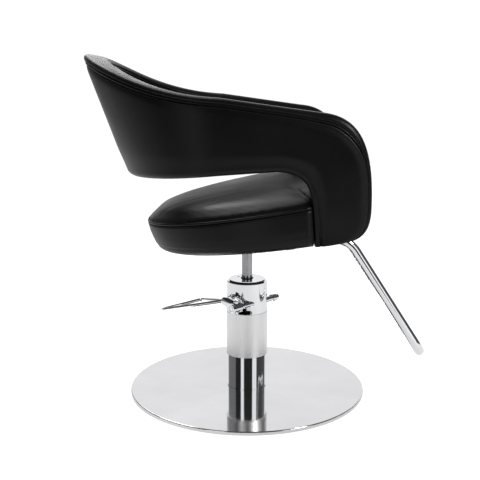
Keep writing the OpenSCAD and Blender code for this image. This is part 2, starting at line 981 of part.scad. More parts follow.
// Rows down a face at inward offset n, shared by neighbouring layers so that their facets agree
function rows_down(n) = [[0.25, 0, n], [0.5, 0, n], [0.75, 0, n]];
function rows_up(n) = [[0.75, 0, n], [0.5, 0, n], [0.25, 0, n]];

module shell_frame() {
    color([0.7, 0.56, 0.38])
        shell_layer(concat(
            [[0, cover_d, skin_out + frame_gap]],
            rows_down(skin_out + frame_gap),
            [[1, frame_low, skin_out + frame_gap]],
            [[1, frame_low, frame_in - frame_gap]],
            rows_up(frame_in - frame_gap),
            [[0, cover_d, frame_in - frame_gap]]
        ));
}

module shell_outer_cover() {
    e = edge_round;
    color([0.09, 0.09, 0.1])
        shell_layer(concat(
            [[0, cover_d, 0]],
            rows_down(0),
            [
                [1, e, 0],
                [1, e * 0.3, e * 0.3],
                [1, 0, e],
                [1, 0, shell_t - e],
                [1, e * 0.3, shell_t - e * 0.3],
                [1, e, shell_t],
                [1, lip, shell_t],
                [1, lip, frame_in],
                [1, lip, skin_out]
            ],
            rows_up(skin_out),
            [[0, cover_d, skin_out]]
        ));
}

module shell_inner_cover() {
    color([0.09, 0.09, 0.1])
        shell_layer(concat(
            [[0, cover_d, frame_in]],
            rows_down(frame_in),
            [[1, lip + seam_gap, frame_in]],
            [[1, lip + seam_gap, shell_t]],
            rows_up(shell_t),
            [[0, cover_d, shell_t]]
        ));
}

module rim_gusset() {
    r = rim_round;
    color([0.09, 0.09, 0.1])
        shell_layer([
            [0, rim_depth, shell_t],
            [0, r, shell_t],
            [0, r * 0.3, shell_t - r * 0.3],
            [0, 0, shell_t - r],
            [0, 0, r],
            [0, r * 0.3, r * 0.3],
            [0, r, 0],
            [0, rim_depth, 0]
        ]);
}

// Narrow strips between the top band and the two covers, outside and inside
module rim_welts() {
    top = rim_depth + seam_gap;
    color([0.09, 0.09, 0.1])
        for (n = [0, shell_t - welt_deep])
            shell_layer([
                [0, top, n],
                [0, top + welt_w, n],
                [0, top + welt_w, n + welt_deep],
                [0, top, n + welt_deep]
            ]);
}

// ---------- footrest ----------

// Footrest line in [u, z]: along the underside, then down and forward
foot_run_z0 = under_z0 + board_lift - (foot_r + foot_drop) / cos(under_tilt);
foot_knee_u = (foot_line_u + foot_run * (foot_line_z - foot_run_z0)) / (1 + foot_run * under_slope);

module footrest_tube() {
    side = [
        [foot_tail_u, foot_run_z0 + under_slope * foot_tail_u],
        [foot_knee_u, foot_run_z0 + under_slope * foot_knee_u],
        [foot_line_u + foot_run * (foot_line_z - foot_bar_z), foot_bar_z]
    ];
    route = concat(
        [for (p = side) [-foot_half_w, -p.x, p.y]],
        [for (k = [2:-1:0]) [foot_half_w, -side[k].x, side[k].y]]
    );
    radii = [foot_knee_r, foot_bend_r, foot_bend_r, foot_knee_r];
    color([0.8, 0.8, 0.82])
        pipe(rounded_route(route, radii, 8), foot_r, foot_bore_r, [1, 0, 0], 24);
}

clamp_u = [95, 160];
clamp_w = foot_tube_d + 8;
clamp_half = 10;
ear_w = 14;
ear_t = 3;
ear_z = -4.5;
ear_hole = clamp_w / 2 + ear_w / 2;
screw_r = 2.6;

// Puts children on the board's underside at each clamp
module at_clamps() {
    for (side = [-1, 1]) for (u = clamp_u)
        translate([side * foot_half_w, -u, under_z(u) + board_lift])
            rotate([-under_tilt, 0, 0])
                children();
}

module footrest_clamps() {
    color([0.15, 0.15, 0.16])
        at_clamps()
            difference() {
                union() {
                    translate([-clamp_w / 2, -clamp_half, -foot_tube_d - foot_drop - 2])
                        cube([clamp_w, 2 * clamp_half, foot_tube_d + foot_drop + 0.5]);
                    translate([-clamp_w / 2 - ear_w, -clamp_half, ear_z])
                        cube([clamp_w + 2 * ear_w, 2 * clamp_half, ear_t]);
                }
                translate([0, clamp_half + 2, -foot_r - foot_drop])
                    rotate([90, 0, 0])
                        cylinder(r = foot_r + fit_gap, h = 2 * clamp_half + 4, $fn = fine);
                for (x = [-1, 1])
                    translate([x * ear_hole, 0, -10])
                        cylinder(r = screw_r + 0.1, h = 20, $fn = fine);
            }
}

module footrest_screws() {
    color([0.7, 0.7, 0.72])
        at_clamps()
            for (x = [-1, 1]) translate([x * ear_hole, 0, ear_z - gap / 2]) {
                translate([0, 0, -3])
                    cylinder(r = 4.8, h = 3, $fn = fine);
                translate([0, 0, -1])
                    cylinder(r = screw_r, h = 4.5, $fn = fine);
            }
}

floor_pad();
base_disc();
base_cover();
base_bolts();
tube_foot();
lower_cylinder();
column_sleeve();
pump_head();
cap_gasket();
head_cap();
filler_plug();
ram_wiper_seal();
guide_bush();
inner_cylinder();
valve_block();
shaft_bushings();
plunger_spring();
pump_plunger();
cross_shaft();
crank_arm();
pedal_hub();
hub_set_screw();
pedal_loop();
shaft_collar();
piston();
piston_seal();
ram();
spindle_socket();
seat_mount_plate();
mount_bolts();
seat_board();
board_nuts();
seat_cushion();
seat_boxing();
seat_welt();
underside_cover();
shell_frame();
shell_outer_cover();
shell_inner_cover();
rim_gusset();
rim_welts();
footrest_tube();
footrest_clamps();
footrest_screws();
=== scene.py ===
"""Looks of a hydraulic salon styling chair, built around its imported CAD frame.

Metres, +Z up, front along -Y. Helper functions use u for the distance forward (-Y),
s for the distance sideways (X) and z for the height.
"""

import math

import bpy
import numpy as np
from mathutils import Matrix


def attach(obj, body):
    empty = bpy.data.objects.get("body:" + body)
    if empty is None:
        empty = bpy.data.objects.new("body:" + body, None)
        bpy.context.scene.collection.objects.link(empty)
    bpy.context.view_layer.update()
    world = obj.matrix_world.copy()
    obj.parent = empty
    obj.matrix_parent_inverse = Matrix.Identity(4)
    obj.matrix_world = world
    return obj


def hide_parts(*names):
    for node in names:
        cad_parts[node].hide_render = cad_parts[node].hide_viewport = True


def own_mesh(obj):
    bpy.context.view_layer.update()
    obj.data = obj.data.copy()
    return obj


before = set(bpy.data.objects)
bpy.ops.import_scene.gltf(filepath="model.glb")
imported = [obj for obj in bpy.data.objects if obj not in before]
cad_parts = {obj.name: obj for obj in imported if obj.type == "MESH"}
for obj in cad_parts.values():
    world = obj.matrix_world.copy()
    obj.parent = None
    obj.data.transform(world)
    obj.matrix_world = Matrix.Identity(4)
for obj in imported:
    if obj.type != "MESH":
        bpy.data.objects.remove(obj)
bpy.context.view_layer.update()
MM = 0.001
rng = np.random.default_rng(7)

# ---------------------------------------------------------------- camera and light

CAMERA_PLACE = (-1.990, 0.018, 0.787)
CAMERA_PITCH = 11.25
CAMERA_LENS = 60.3
SENSOR = 36.0


def make_camera():
    data = bpy.data.cameras.new("camera")
    data.lens = CAMERA_LENS
    data.sensor_width = SENSOR
    data.sensor_fit = "HORIZONTAL"
    data.clip_end = 50
    cam = bpy.data.objects.new("camera", data)
    cam.location = CAMERA_PLACE
    cam.rotation_euler = (math.radians(90 - CAMERA_PITCH), 0, math.radians(-90))
    bpy.context.collection.objects.link(cam)
    bpy.context.scene.camera = cam


def area_light(name, place, target, size, power, size_y=None):
    data = bpy.data.lights.new(name, "AREA")
    data.energy = power
    data.size = size
    if size_y:
        data.shape = "RECTANGLE"
        data.size_y = size_y
    lamp = bpy.data.objects.new(name, data)
    lamp.location = place
    aim = np.array(target, float) - np.array(place, float)
    aim /= np.linalg.norm(aim)
    yaw = math.atan2(aim[1], aim[0]) - math.pi / 2
    pitch = math.acos(-aim[2])
    lamp.rotation_euler = (pitch, 0, yaw)
    bpy.context.collection.objects.link(lamp)


# Brightness round the room against the share of a turn, which starts behind the camera and
# passes the chair's front first: dark room, two light strips, and a white sweep behind
ROOM_STOPS = [
    (0.000, 0.02), (0.085, 0.02), (0.095, 0.95), (0.160, 0.95), (0.170, 0.05), (0.360, 0.08),
    (0.400, 0.88), (0.555, 0.88), (0.590, 0.22), (0.640, 0.17), (0.790, 0.16), (0.805, 0.02),
    (0.892, 0.02), (0.900, 0.95), (0.942, 0.95), (0.952, 0.02), (1.000, 0.02),
]
ROOM_BLUE = 1.03
BACKDROP = 1.05
# The ceiling's tone, and the heights (0 level, 1 straight up) between which it takes over
CEILING = (0.10, 0.10, 0.105, 1)
CEILING_FROM, CEILING_TO = 0.45, 0.7


def make_world():
    world = bpy.data.worlds.new("studio")
    bpy.context.scene.world = world
    world.use_nodes = True
    nodes, links = world.node_tree.nodes, world.node_tree.links
    nodes.clear()
    out = nodes.new("ShaderNodeOutputWorld")
    mix = nodes.new("ShaderNodeMixShader")
    white = nodes.new("ShaderNodeBackground")
    room = nodes.new("ShaderNodeBackground")
    white.inputs["Color"].default_value = (1, 1, 1, 1)
    white.inputs["Strength"].default_value = BACKDROP
    room.inputs["Strength"].default_value = 1.0
    path = nodes.new("ShaderNodeLightPath")
    coord = nodes.new("ShaderNodeTexCoord")
    split = nodes.new("ShaderNodeSeparateXYZ")
    turn = nodes.new("ShaderNodeMath")
    turn.operation = "ARCTAN2"
    scale = nodes.new("ShaderNodeMapRange")
    scale.inputs["From Min"].default_value = -math.pi
    scale.inputs["From Max"].default_value = math.pi
    bands = nodes.new("ShaderNodeValToRGB")
    height = nodes.new("ShaderNodeMapRange")
    height.inputs["From Min"].default_value = CEILING_FROM
    height.inputs["From Max"].default_value = CEILING_TO
    over = nodes.new("ShaderNodeMix")
    over.data_type = "RGBA"
    over.inputs["B"].default_value = CEILING
    links.new(coord.outputs["Generated"], split.inputs[0])
    links.new(split.outputs["Y"], turn.inputs[0])
    links.new(split.outputs["X"], turn.inputs[1])
    links.new(turn.outputs[0], scale.inputs["Value"])
    links.new(scale.outputs[0], bands.inputs["Fac"])
    links.new(split.outputs["Z"], height.inputs["Value"])
    links.new(height.outputs[0], over.inputs["Factor"])
    links.new(bands.outputs["Color"], over.inputs["A"])
    links.new(over.outputs["Result"], room.inputs["Color"])
    links.new(path.outputs["Is Camera Ray"], mix.inputs["Fac"])
    links.new(room.outputs[0], mix.inputs[1])
    links.new(white.outputs[0], mix.inputs[2])
    links.new(mix.outputs[0], out.inputs["Surface"])
    ramp = bands.color_ramp
    ramp.elements[0].position = ROOM_STOPS[0][0]
    ramp.elements[1].position = ROOM_STOPS[-1][0]
    for place, _ in ROOM_STOPS[1:-1]:
        ramp.elements.new(place)
    for element, (_, value) in zip(ramp.elements, ROOM_STOPS):
        element.color = (value, value, value * ROOM_BLUE, 1)


FLOOR_R = 3.2
FLOOR_SIDES = 96
# The floor lies mostly behind the chair as the camera sees it, and just under the plate
FLOOR_SHIFT = 1.2
FLOOR_DROP = 0.0005
FLOOR_GLOW = 0.5


def make_stage():
    data = bpy.data.meshes.new("floor")
    rim = []
    for k in range(FLOOR_SIDES):
        a = 2 * math.pi * k / FLOOR_SIDES
        rim.append((FLOOR_R * math.cos(a) + FLOOR_SHIFT, FLOOR_R * math.sin(a), -FLOOR_DROP))
    data.from_pydata(rim, [], [list(range(FLOOR_SIDES))])
    floor = bpy.data.objects.new("floor", data)
    bpy.context.collection.objects.link(floor)
    mat = bpy.data.materials.new("floor")
    mat.use_nodes = True
    bsdf = mat.node_tree.nodes["Principled BSDF"]
    bsdf.inputs["Base Color"].default_value = (0.5, 0.5, 0.5, 1)
    bsdf.inputs["Roughness"].default_value = 0.9
    bsdf.inputs["Specular IOR Level"].default_value = 0.0
    bsdf.inputs["Emission Color"].default_value = (1, 1, 1, 1)
    path = mat.node_tree.nodes.new("ShaderNodeLightPath")
    glow = mat.node_tree.nodes.new("ShaderNodeMapRange")
    glow.inputs["To Min"].default_value = FLOOR_GLOW
    glow.inputs["To Max"].default_value = 1.0
    mat.node_tree.links.new(path.outputs["Is Camera Ray"], glow.inputs["Value"])
    mat.node_tree.links.new(glow.outputs[0], bsdf.inputs["Emission Strength"])
    data.materials.append(mat)


bpy.context.scene.view_settings.view_transform = "Standard"
make_camera()
make_world()
make_stage()
area_light("overhead", (1.0, 0.8, 2.4), (0.1, 0.1, 0.6), 1.2, 30, 1.6)
area_light("high_back", (2.3, 0.7, 1.55), (0, 0.2, 0.6), 0.9, 3, 0.35)
area_light("shoulder", (-1.3, -1.8, 1.85), (-0.29, -0.2, 0.68), 0.5, 26, 0.5)

# ---------------------------------------------------------------- materials

MATERIALS = {}
# The part of a noise's range that is spread over a colour or roughness
NOISE_LOW, NOISE_HIGH = 0.3, 0.7


class Shader:
    """A Principled material with short helpers for its textures."""

    def __init__(self, name, color, rough, metallic=0.0, **extra):
        self.mat = bpy.data.materials.new(name)
        self.mat.use_nodes = True
        self.nodes = self.mat.node_tree.nodes
        self.links = self.mat.node_tree.links
        self.bsdf = self.nodes["Principled BSDF"]
        self.bsdf.inputs["Base Color"].default_value = (*color, 1)
        self.bsdf.inputs["Roughness"].default_value = rough
        self.bsdf.inputs["Metallic"].default_value = metallic
        for key, value in extra.items():
            self.bsdf.inputs[key.replace("_", " ")].default_value = value
        self.coord = self.nodes.new("ShaderNodeTexCoord").outputs["Object"]
        self.normal = None
        MATERIALS[name] = self.mat

    def stretched(self, scale):
        node = self.nodes.new("ShaderNodeMapping")
        node.inputs["Scale"].default_value = scale
        self.links.new(self.coord, node.inputs["Vector"])
        return node.outputs[0]

    def noise(self, scale, detail, vector=None, rough=0.5):
        node = self.nodes.new("ShaderNodeTexNoise")
        node.inputs["Scale"].default_value = scale
        node.inputs["Detail"].default_value = detail
        node.inputs["Roughness"].default_value = rough
        self.links.new(vector or self.coord, node.inputs["Vector"])
        return node.outputs["Fac"]

    def cells(self, scale):
        node = self.nodes.new("ShaderNodeTexVoronoi")
        node.feature = "DISTANCE_TO_EDGE"
        node.inputs["Scale"].default_value = scale
        self.links.new(self.coord, node.inputs["Vector"])
        return node.outputs["Distance"]

    def ranged(self, value, low, high):
        node = self.nodes.new("ShaderNodeMapRange")
        node.inputs["From Min"].default_value = NOISE_LOW
        node.inputs["From Max"].default_value = NOISE_HIGH
        node.inputs["To Min"].default_value = low
        node.inputs["To Max"].default_value = high
        self.links.new(value, node.inputs["Value"])
        return node.outputs[0]

    def color(self, value, low, high):
        node = self.nodes.new("ShaderNodeMix")
        node.data_type = "RGBA"
        node.inputs["A"].default_value = (*low, 1)
        node.inputs["B"].default_value = (*high, 1)
        self.links.new(self.ranged(value, 0, 1), node.inputs["Factor"])
        self.links.new(node.outputs["Result"], self.bsdf.inputs["Base Color"])

    def rough(self, value, low, high):
        self.links.new(self.ranged(value, low, high), self.bsdf.inputs["Roughness"])

    def bump(self, value, distance, strength):
        node = self.nodes.new("ShaderNodeBump")
        node.inputs["Distance"].default_value = distance
        node.inputs["Strength"].default_value = strength
        self.links.new(value, node.inputs["Height"])
        if self.normal:
            self.links.new(self.normal, node.inputs["Normal"])
        self.normal = node.outputs["Normal"]
        self.links.new(self.normal, self.bsdf.inputs["Normal"])


def make_materials():
    leather = Shader("black_leather", (0.006, 0.006, 0.006), 0.36, Specular_IOR_Level=0.2)
    leather.color(leather.noise(3.5, 3), (0.004, 0.004, 0.004), (0.0075, 0.0073, 0.0075))
    leather.rough(leather.noise(9, 4, rough=0.6), 0.31, 0.40)
    leather.bump(leather.noise(16, 3), 0.0011, 0.35)
    leather.bump(leather.cells(900), 0.00022, 0.5)
    leather.bump(leather.noise(1500, 2), 0.0001, 0.4)

    thread = Shader("black_thread", (0.016, 0.016, 0.017), 0.6)
    thread.bump(thread.noise(2600, 1, thread.stretched((1, 1, 0.4))), 0.0001, 0.6)
    thread.color(thread.noise(300, 1), (0.012, 0.012, 0.013), (0.022, 0.022, 0.023))

    chrome = Shader("chrome", (0.90, 0.905, 0.92), 0.05, 1.0)
    chrome.rough(chrome.noise(26, 4), 0.02, 0.06)
    chrome.color(chrome.noise(7, 3), (0.87, 0.875, 0.89), (0.93, 0.935, 0.945))
    chrome.bump(chrome.noise(60, 2), 0.00005, 0.25)

    plate = Shader("polished_plate", (0.83, 0.83, 0.825), 0.08, 1.0)
    plate.rough(plate.noise(5, 4, rough=0.6), 0.03, 0.09)
    plate.color(plate.noise(5, 4, rough=0.6), (0.78, 0.78, 0.775), (0.86, 0.86, 0.855))
    plate.bump(plate.noise(900, 1, plate.stretched((1, 0.02, 1))), 0.00002, 0.3)

    satin = Shader("satin_sleeve", (0.88, 0.88, 0.88), 0.34, 1.0)
    streak = satin.noise(420, 3, satin.stretched((1, 1, 0.03)), 0.6)
    satin.color(streak, (0.88, 0.88, 0.875), (0.98, 0.98, 0.975))
    satin.rough(streak, 0.28, 0.46)
    satin.bump(streak, 0.0001, 0.4)

    ram = Shader("ram_steel", (0.4, 0.4, 0.41), 0.22, 1.0)
    rings = ram.noise(500, 2, ram.stretched((0.1, 0.1, 3)))
    ram.rough(rings, 0.16, 0.28)
    ram.color(ram.noise(30, 3, ram.stretched((1, 1, 0.2))), (0.34, 0.34, 0.35), (0.46, 0.46, 0.47))
    ram.bump(rings, 0.00004, 0.4)

    steel = Shader("mild_steel", (0.3, 0.31, 0.32), 0.45, 1.0)
    steel.rough(steel.noise(40, 4), 0.35, 0.6)
    steel.bump(steel.noise(400, 3), 0.0001, 0.4)

    zinc = Shader("zinc_fastener", (0.58, 0.59, 0.6), 0.3, 1.0)
    zinc.rough(zinc.noise(200, 3), 0.22, 0.42)
    zinc.color(zinc.noise(90, 3), (0.5, 0.51, 0.52), (0.64, 0.65, 0.66))
    zinc.bump(zinc.noise(900, 2), 0.00006, 0.4)

    bronze = Shader("bronze", (0.5, 0.33, 0.15), 0.35, 1.0)
    bronze.rough(bronze.noise(120, 3), 0.28, 0.5)
    bronze.bump(bronze.noise(700, 2), 0.00006, 0.4)

    paint = Shader("black_paint", (0.02, 0.02, 0.022), 0.4)
    paint.rough(paint.noise(60, 3), 0.33, 0.5)
    paint.bump(paint.noise(700, 3), 0.00012, 0.5)

    rubber = Shader("rubber", (0.02, 0.02, 0.02), 0.75)
    rubber.rough(rubber.noise(90, 3), 0.65, 0.85)
    rubber.bump(rubber.noise(1200, 2), 0.0001, 0.5)

    ply = Shader("plywood", (0.5, 0.34, 0.18), 0.6)
    grain = ply.noise(30, 5, ply.stretched((1, 0.08, 6)), 0.6)
    ply.color(grain, (0.36, 0.22, 0.1), (0.6, 0.43, 0.25))
    ply.bump(grain, 0.0003, 0.4)

    cloth = Shader("black_cloth", (0.014, 0.014, 0.014), 0.85, Sheen_Weight=0.3)
    cloth.bump(cloth.cells(1600), 0.0002, 0.7)
    cloth.color(cloth.noise(40, 3), (0.011, 0.011, 0.011), (0.02, 0.02, 0.02))


make_materials()


def dress(obj, name):
    obj.data.materials.clear()
    obj.data.materials.append(MATERIALS[name])


# ---------------------------------------------------------------- mesh helpers


def new_mesh(name, verts, faces, material):
    data = bpy.data.meshes.new(name)
    data.from_pydata([tuple(v) for v in verts], [], faces)
    data.validate()
    data.update()
    data.polygons.foreach_set("use_smooth", [True] * len(data.polygons))
    obj = bpy.data.objects.new(name, data)
    bpy.context.collection.objects.link(obj)
    dress(obj, material)
    return obj


def loft(name, rings, material, closed=False):
    """Solid through rings of points; closed joins the last ring to the first."""
    rings = np.asarray(rings)
    count, size = rings.shape[:2]
    faces = []
    for i in range(count if closed else count - 1):
        a, b = i * size, (i + 1) % count * size
        for j in range(size):
            k = (j + 1) % size
            faces.append((a + j, a + k, b + k, b + j))
    if not closed:
        faces.append(tuple(range(size))[::-1])
        faces.append(tuple((count - 1) * size + j for j in range(size)))
    return new_mesh(name, rings.reshape(-1, 3), faces, material)


def unit(v):
    return v / np.linalg.norm(v, axis=-1, keepdims=True)


def rounded_route(points, radii, steps):
    """Points through a route with each inner corner turned on an arc of its own radius."""
    points = [np.array(p, float) for p in points]
    out = [points[0]]
    for a, b, c, radius in zip(points, points[1:], points[2:], radii):
        d1, d2 = unit(b - a), unit(c - b)
        turn = math.acos(np.clip(d1 @ d2, -1, 1))
        start = b - d1 * radius * math.tan(turn / 2)
        inward = unit(d2 - d1 * (d1 @ d2))
        for k in range(steps + 1):
            t = turn * k / steps
            out.append(start + inward * radius * (1 - math.cos(t)) + d1 * radius * math.sin(t))
    out.append(points[-1])
    return np.array(out)


def tube_rings(points, radius, first, sides):
    """Rings of the given radius square to a route; radius may vary along it."""
    points = np.asarray(points, float)
    tangents = unit(np.gradient(points, axis=0))
    radius = np.broadcast_to(radius, len(points))
    normal = np.array(first, float)
    angles = 2 * math.pi * np.arange(sides) / sides
    rings = []
    for p, t, r in zip(points, tangents, radius):
        normal = unit(normal - t * (normal @ t))
        side = np.cross(t, normal)
        rings.append(p + r * (np.outer(np.cos(angles), normal) + np.outer(np.sin(angles), side)))
    return rings


def along_curve(points, pitch):
    """Evenly spaced places and directions along a polyline."""
    points = np.asarray(points)
    steps = np.linalg.norm(np.diff(points, axis=0), axis=1)
    length = np.concatenate([[0], np.cumsum(steps)])
    places = np.arange(pitch / 2, length[-1], pitch)
    at = np.stack([np.interp(places, length, points[:, k]) for k in range(3)], 1)
    further = places + pitch * 0.3
    ahead = np.stack([np.interp(further, length, points[:, k]) for k in range(3)], 1)
    return at, unit(ahead - at + 1e-9)


STITCH_PITCH = 4.4 * MM
STITCH_LENGTH = 3.0 * MM
THREAD_R = 0.42 * MM
THREAD_FLAT = 0.8
THREAD_SIDES = 6
# Rings of one stitch as (place along its length, share of the thread's radius)
STITCH_RINGS = [(-0.5, 0.35), (-0.34, 0.9), (0.34, 0.9), (0.5, 0.35)]


def stitches(name, curves):
    """Short thread stitches lying along curves of (points, outward normals)."""
    verts, faces = [], []
    sides = THREAD_SIDES
    for points, normals in curves:
        at, along = along_curve(points, STITCH_PITCH)
        near = np.argmin(
            np.linalg.norm(at[:, None, :] - np.asarray(points)[None, :, :], axis=2), axis=1
        )
        for p, t, k in zip(at, along, near):
            n = unit(normals[k] - t * (normals[k] @ t))
            side = np.cross(t, n)
            base = len(verts)
            for share, size in STITCH_RINGS:
                for j in range(sides):
                    a = 2 * math.pi * j / sides
                    verts.append(
                        p + t * share * STITCH_LENGTH
                        + THREAD_R * size * (math.cos(a) * n * THREAD_FLAT + math.sin(a) * side)
                    )
            for i in range(len(STITCH_RINGS) - 1):
                for j in range(sides):
                    k2 = (j + 1) % sides
                    faces.append((base + i * sides + j, base + i * sides + k2,
                                  base + (i + 1) * sides + k2, base + (i + 1) * sides + j))
            faces.append(tuple(base + j for j in range(sides))[::-1])
            faces.append(tuple(base + (len(STITCH_RINGS) - 1) * sides + j for j in range(sides)))
    return new_mesh(name, verts, faces, "black_thread")


def smoothstep(x, low, high):
    t = np.clip((x - low) / (high - low), 0, 1)
    return t * t * (3 - 2 * t)


def bezier(p, t):
    p = np.asarray(p, float)
    t = np.asarray(t, float)[..., None]
    rest = 1 - t
    return p[0] * rest ** 3 + p[1] * 3 * t * rest ** 2 + p[2] * 3 * t * t * rest + p[3] * t ** 3


# ---------------------------------------------------------------- wrap-around shell

SHELL_T = 57 * MM
SHELL_U = -65 * MM
REAR_DEPTH = 232 * MM
RECLINE = 0.3716
SIDE_HALF = 286 * MM
SIDE_FLARE = 0.05
SIDE_Z = 430 * MM
LOW_Z = 586 * MM
LOW_SLOPE = 0.089
SIDE_LOW_SLOPE = 0.068
ARM_TOP = 749 * MM
BACK_RISE = 101 * MM
CREST_MIX = 0.15
CREST_POWER = 2.2
ARM_SLOPE = 0.14
ARM_FRONT = np.array([[150, 719], [236, 713], [264.5, 650], [264.5, 520]]) * MM
ARM_TOE = np.array([[264.5, 520], [265, 472], [254, 443], [200, 439]]) * MM
GAP_CORNER = np.array([[60, 594.5], [110, 593.5], [136, 570], [138.5, 520]]) * MM
GAP_DROP = np.array([[138.5, 520], [145.5, 431.5]]) * MM
ARM_START = 60 * MM
# Shares of the arm's front run: its rim is straight up to the first, then follows ARM_FRONT up
# to the second and ARM_TOE to the end; its lower edge follows GAP_CORNER up to the third
RIM_STRAIGHT, RIM_TURN, CORNER_END = 0.2, 0.65, 0.55
RIM_R = 14 * MM
RIM_CROWN = 2 * MM
# How far the inner edge of the rim lies below the outer one across the back
RIM_FALL = 12 * MM
FALL_REACH = 80 * MM
FALL_SHARE = 0.6
EDGE_R = 12 * MM
REAR_N, SIDE_N, FRONT_N = 44, 10, 56


def half_width(z):
    return SIDE_HALF + SIDE_FLARE * (z - SIDE_Z)


def rear_depth(z):
    return REAR_DEPTH + RECLINE * (z - LOW_Z)


def make_stations():
    """Rows of [phi, rim u, rim z, lower u, lower z] for half the shell, from the middle of the
    back (phi 0) round to the arm (phi 90 degrees) and along it to its front end."""
    rows = []
    for k in range(REAR_N):
        phi = math.pi / 2 * k / REAR_N
        c = math.cos(phi)
        crest = ARM_TOP + BACK_RISE * (CREST_MIX * c + (1 - CREST_MIX) * c ** CREST_POWER)
        rows.append([phi, 0, crest, 0, LOW_Z - LOW_SLOPE * REAR_DEPTH * c])
    for k in range(SIDE_N):
        along = (ARM_START - SHELL_U) * k / SIDE_N
        u = SHELL_U + along
        rows.append([math.pi / 2, u, ARM_TOP - ARM_SLOPE * along, u, LOW_Z + SIDE_LOW_SLOPE * along])
    start = np.array([ARM_START, ARM_TOP - ARM_SLOPE * (ARM_START - SHELL_U)])
    for k in range(FRONT_N + 1):
        t = k / FRONT_N
        if t < RIM_STRAIGHT:
            rim = start + (ARM_FRONT[0] - start) * t / RIM_STRAIGHT
        elif t < RIM_TURN:
            rim = bezier(ARM_FRONT, (t - RIM_STRAIGHT) / (RIM_TURN - RIM_STRAIGHT))
        else:
            rim = bezier(ARM_TOE, (t - RIM_TURN) / (1 - RIM_TURN))
        if t < CORNER_END:
            low = bezier(GAP_CORNER, t / CORNER_END)
        else:
            share = (t - CORNER_END) / (1 - CORNER_END)
            low = GAP_DROP[0] + (GAP_DROP[1] - GAP_DROP[0]) * share
        rows.append([math.pi / 2, *rim, *low])
    return np.array(rows)


STATIONS = make_stations()
HALF = len(STATIONS)
# Place of each station along the front part, below zero behind it
FRONT_T = (np.arange(HALF) - REAR_N - SIDE_N) / FRONT_N
REAR_SHARE = np.clip(1 - np.arange(HALF) / REAR_N, 0, 1)


def shell_point(row, share, n):
    """Point on the shell: share runs from the rim (0) to the lower edge (1), n goes inward."""
    phi, u0, z0, u1, z1 = row
    z = z0 + (z1 - z0) * share
    if phi < math.pi / 2:
        u = SHELL_U - (rear_depth(z) - n) * math.cos(phi)
        s = (half_width(z) - n) * math.sin(phi)
    else:
        u = u0 + (u1 - u0) * share
        s = half_width(z) - n
    return np.array([s, -u, z])


LENGTHS = np.array([np.linalg.norm(shell_point(r, 0, 0) - shell_point(r, 1, 0)) for r in STATIONS])


def section_to_space(index, points):
    """Points given as (distance below the rim, inward offset) at one station."""
    row, length = STATIONS[index], LENGTHS[index]
    fall = RIM_FALL * smoothstep(REAR_SHARE[index], 0, FALL_SHARE)
    lowered = [d + fall * n / SHELL_T * max(0, 1 - d / FALL_REACH) for d, n in points]
    return np.array([shell_point(row, d / length, n) for d, (_, n) in zip(lowered, points)])


# Half of the rim's flat top, and the length of its outline from the middle down to RIM_R
RIM_FLAT = SHELL_T / 2 - RIM_R
RIM_ROUND = RIM_FLAT + RIM_R * math.pi / 2


def rim_curve(reach):
    """Place on the rim's outline at a signed distance from its middle, outer side positive,
    with its outward direction, both as (distance below the rim, inward offset)."""
    a = abs(reach)
    if a < RIM_FLAT:
        d, n, out = 0.0, SHELL_T / 2 - a, (-1.0, 0.0)
    elif a < RIM_ROUND:
        t = (a - RIM_FLAT) / RIM_R
        d, n = RIM_R * (1 - math.cos(t)), RIM_R * (1 - math.sin(t))
        out = (-math.cos(t), -math.sin(t))
    else:
        d, n, out = a - RIM_ROUND + RIM_R, 0.0, (0.0, -1.0)
    d -= RIM_CROWN * max(0.0, 1 - (a / (RIM_FLAT + RIM_R)) ** 2)
    if reach < 0:
        n, out = SHELL_T - n, (out[0], -out[1])
    return np.array([d, n]), np.array(out)


def reach_of(d):
    """Distance along the rim's outline from its middle down to a place d below the rim."""
    if d < RIM_R:
        return RIM_FLAT + RIM_R * math.acos(1 - d / RIM_R)
    return RIM_ROUND + d - RIM_R


# Depth of the upper seam below the rim along the girth: lower across the back and on the arm's
# shoulder, and close to the rim at the arm's front
SEAM_DEPTH = (
    10 * MM
    + 8 * MM * smoothstep(REAR_SHARE, 0.0, 0.75)
    + 6 * MM * smoothstep(FRONT_T, 0.08, 0.3)
    - 13 * MM * smoothstep(FRONT_T, 0.34, 0.56)
)
WELT_W = 6 * MM + 3 * MM * smoothstep(REAR_SHARE, 0.0, 0.75)
# Where the arm is fullest, and where the groove along its rear edge runs, as shares
SHOULDER = smoothstep(FRONT_T, -0.1, 0.25) * (1 - smoothstep(FRONT_T, 0.6, 0.9))
EDGE_SEAM = smoothstep(FRONT_T, 0.3, 0.5)
EDGE_SHARPER = 6 * MM
EDGE_SEAM_UP = 12.5 * MM
GROOVE = 2.2 * MM
GROOVE_W = 1.8 * MM
EDGE_GROOVE, EDGE_GROOVE_W = 4.5 * MM, 2.2 * MM
EDGE_PUFF, EDGE_PUFF_W = 1 * MM, 4 * MM
# Fullness of the outer panel beside its seam and how far it takes to build up, each with what
# the shoulder adds, and fullness of the inner panel
PUFF, SHOULDER_PUFF = 2.6, 2.4
PUFF_W, SHOULDER_PUFF_W = 9, 5
INNER_PUFF = 5 * MM
WELT_CROWN = 0.5 * MM
WELT_ROOT = 5 * MM
# Hidden backs of the pieces, as inward offsets from the shell's outer face
GUSSET_BACK = 7 * MM
OUTER_BACK = 24 * MM
INNER_BACK = 34 * MM
# The inner panel ends at a seam this far above the lower edge's rounding; the panels' backs
# start this far under the welt
LOW_SEAM = 3 * MM
UNDER_WELT = 2 * MM
# Panels are sampled finely within these distances of their upper and lower seams
FINE_UP, FINE_LOW = 12 * MM, 6 * MM


